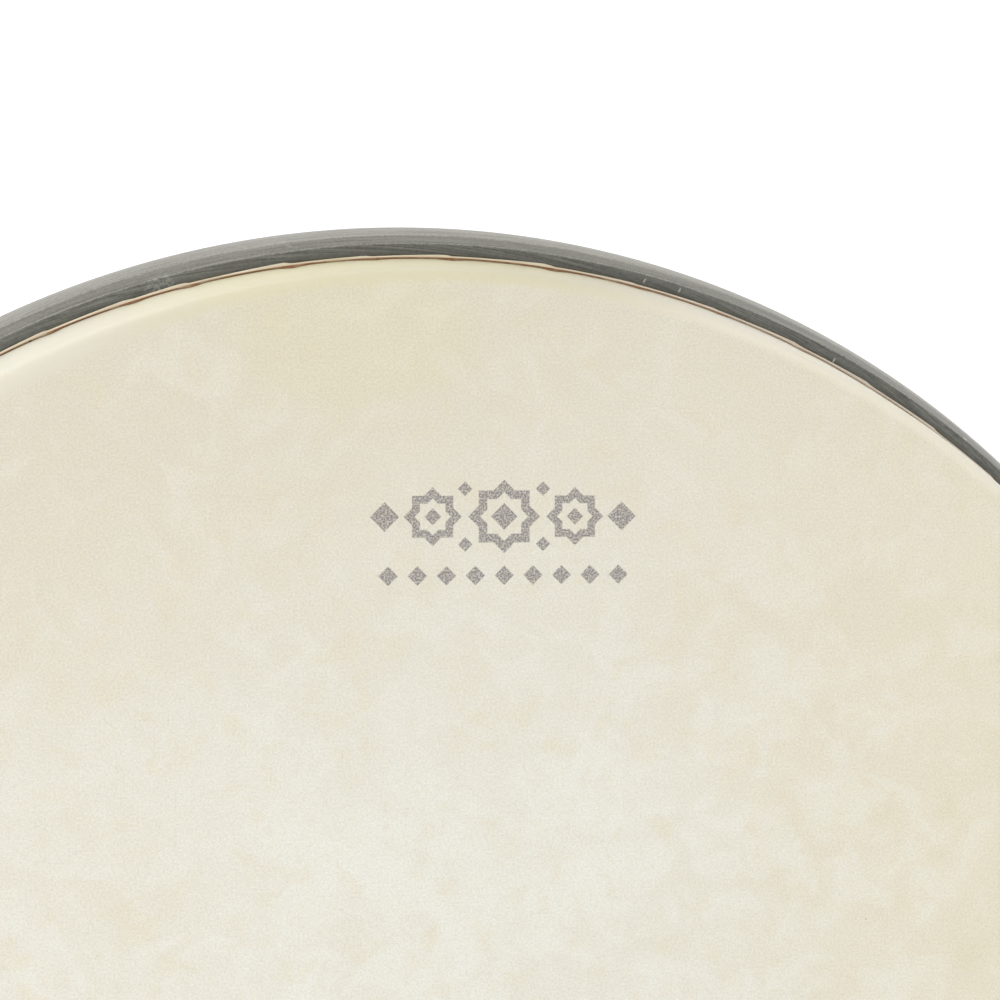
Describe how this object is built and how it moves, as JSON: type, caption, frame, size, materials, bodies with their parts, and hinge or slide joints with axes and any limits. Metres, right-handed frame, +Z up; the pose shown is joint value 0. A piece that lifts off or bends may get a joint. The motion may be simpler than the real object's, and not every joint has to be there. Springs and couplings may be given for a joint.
{
  "type": "darbuka",
  "caption": "Goblet-shaped hand drum in spun aluminium, with a cream calf-look head bonded in a slim grey hoop and tuned by screws hidden under the rim.",
  "frame": {"origin": "centre of the foot on the floor", "axes": "+Z up through the neck and the head; the drum is round, so +X and +Y are any two level directions, with a tuning screw on +X"},
  "size_m": [0.2282, 0.2282, 0.43],
  "materials": {
    "shell_metal": "satin spun aluminium with fine turned lines",
    "hoop_metal": "dull grey turned aluminium, scuffed on its flat top",
    "band_metal": "bright turned aluminium",
    "rivet_metal": "bright domed rivets",
    "screw_steel": "zinc-plated steel",
    "head_film": "cream calf-look polyester film, cloudy and finely grained",
    "head_resin": "cream resin bead",
    "trim_rubber": "black rubber edging"
  },
  "bodies": {
    "shell": {"bearing_ring": "shell_metal", "flange_rivets": "rivet_metal", "bowl_shell": "shell_metal", "foot_shell": "shell_metal", "neck_band": "band_metal", "neck_rivets": "rivet_metal", "foot_trim": "trim_rubber", "bolt_washers": "screw_steel"},
    "head": {"tension_ring": "hoop_metal", "thread_inserts": "screw_steel", "head_resin": "head_resin", "head_film": "head_film"},
    "tuning_bolt_1": {"tuning_bolt_1": "screw_steel"},
    "tuning_bolt_2": {"tuning_bolt_2": "screw_steel"},
    "tuning_bolt_3": {"tuning_bolt_3": "screw_steel"},
    "tuning_bolt_4": {"tuning_bolt_4": "screw_steel"},
    "tuning_bolt_5": {"tuning_bolt_5": "screw_steel"},
    "tuning_bolt_6": {"tuning_bolt_6": "screw_steel"},
    "tuning_bolt_7": {"tuning_bolt_7": "screw_steel"},
    "tuning_bolt_8": {"tuning_bolt_8": "screw_steel"}
  },
  "joints": [
    {"name": "ring_travel", "type": "slide", "parent": "shell", "child": "head", "axis": [0, 0, 1], "range_m": [0, 0.004]},
    {"name": "bolt_1_turn", "type": "hinge", "parent": "shell", "child": "tuning_bolt_1", "pos_m": [0.1105, 0, 0.3865], "axis": [0, 0, 1], "range_deg": [-2058, 0]},
    {"name": "bolt_2_turn", "type": "hinge", "parent": "shell", "child": "tuning_bolt_2", "pos_m": [0.07813, 0.07813, 0.3865], "axis": [0, 0, 1], "range_deg": [-2058, 0]},
    {"name": "bolt_3_turn", "type": "hinge", "parent": "shell", "child": "tuning_bolt_3", "pos_m": [0, 0.1105, 0.3865], "axis": [0, 0, 1], "range_deg": [-2058, 0]},
    {"name": "bolt_4_turn", "type": "hinge", "parent": "shell", "child": "tuning_bolt_4", "pos_m": [-0.07813, 0.07813, 0.3865], "axis": [0, 0, 1], "range_deg": [-2058, 0]},
    {"name": "bolt_5_turn", "type": "hinge", "parent": "shell", "child": "tuning_bolt_5", "pos_m": [-0.1105, 0, 0.3865], "axis": [0, 0, 1], "range_deg": [-2058, 0]},
    {"name": "bolt_6_turn", "type": "hinge", "parent": "shell", "child": "tuning_bolt_6", "pos_m": [-0.07813, -0.07813, 0.3865], "axis": [0, 0, 1], "range_deg": [-2058, 0]},
    {"name": "bolt_7_turn", "type": "hinge", "parent": "shell", "child": "tuning_bolt_7", "pos_m": [0, -0.1105, 0.3865], "axis": [0, 0, 1], "range_deg": [-2058, 0]},
    {"name": "bolt_8_turn", "type": "hinge", "parent": "shell", "child": "tuning_bolt_8", "pos_m": [0.07813, -0.07813, 0.3865], "axis": [0, 0, 1], "range_deg": [-2058, 0]}
  ],
  "couplings": [
    {"joint": "bolt_1_turn", "follows": "ring_travel", "rad_per_m": -8976},
    {"joint": "bolt_2_turn", "follows": "ring_travel", "rad_per_m": -8976},
    {"joint": "bolt_3_turn", "follows": "ring_travel", "rad_per_m": -8976},
    {"joint": "bolt_4_turn", "follows": "ring_travel", "rad_per_m": -8976},
    {"joint": "bolt_5_turn", "follows": "ring_travel", "rad_per_m": -8976},
    {"joint": "bolt_6_turn", "follows": "ring_travel", "rad_per_m": -8976},
    {"joint": "bolt_7_turn", "follows": "ring_travel", "rad_per_m": -8976},
    {"joint": "bolt_8_turn", "follows": "ring_travel", "rad_per_m": -8976}
  ]
}
